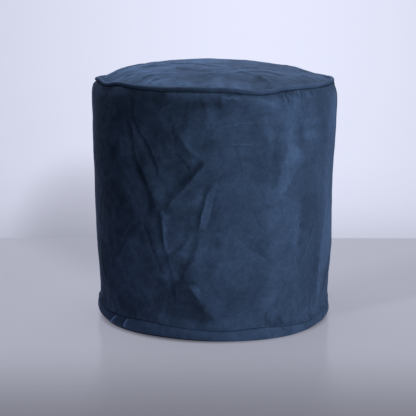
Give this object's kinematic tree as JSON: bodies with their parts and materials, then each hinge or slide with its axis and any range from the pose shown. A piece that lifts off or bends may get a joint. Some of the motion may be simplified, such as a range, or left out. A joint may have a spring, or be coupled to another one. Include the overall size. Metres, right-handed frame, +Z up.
{
  "type": "bean bag footstool",
  "caption": "Round drum-shaped bean bag footstool in soft velvet, with piping round its crowned top, a band round its foot, and a flat base.",
  "frame": {"origin": "on the floor, under the middle of the drum", "axes": "+Z up, along the drum's height; -Y towards the front, the side with the most creases; +X to the right of someone who looks at the front"},
  "size_m": [0.4199, 0.4215, 0.4416],
  "materials": {
    "wall_velvet": "short-pile velvet",
    "top_velvet": "short-pile velvet",
    "piping_velvet": "short-pile velvet",
    "band_velvet": "short-pile velvet",
    "base_cloth": "plain dark cloth"
  },
  "bodies": {
    "root": {"wall_panel": "wall_velvet", "top_panel": "top_velvet", "piping": "piping_velvet", "foot_band": "band_velvet", "base_panel": "base_cloth"}
  },
  "joints": []
}
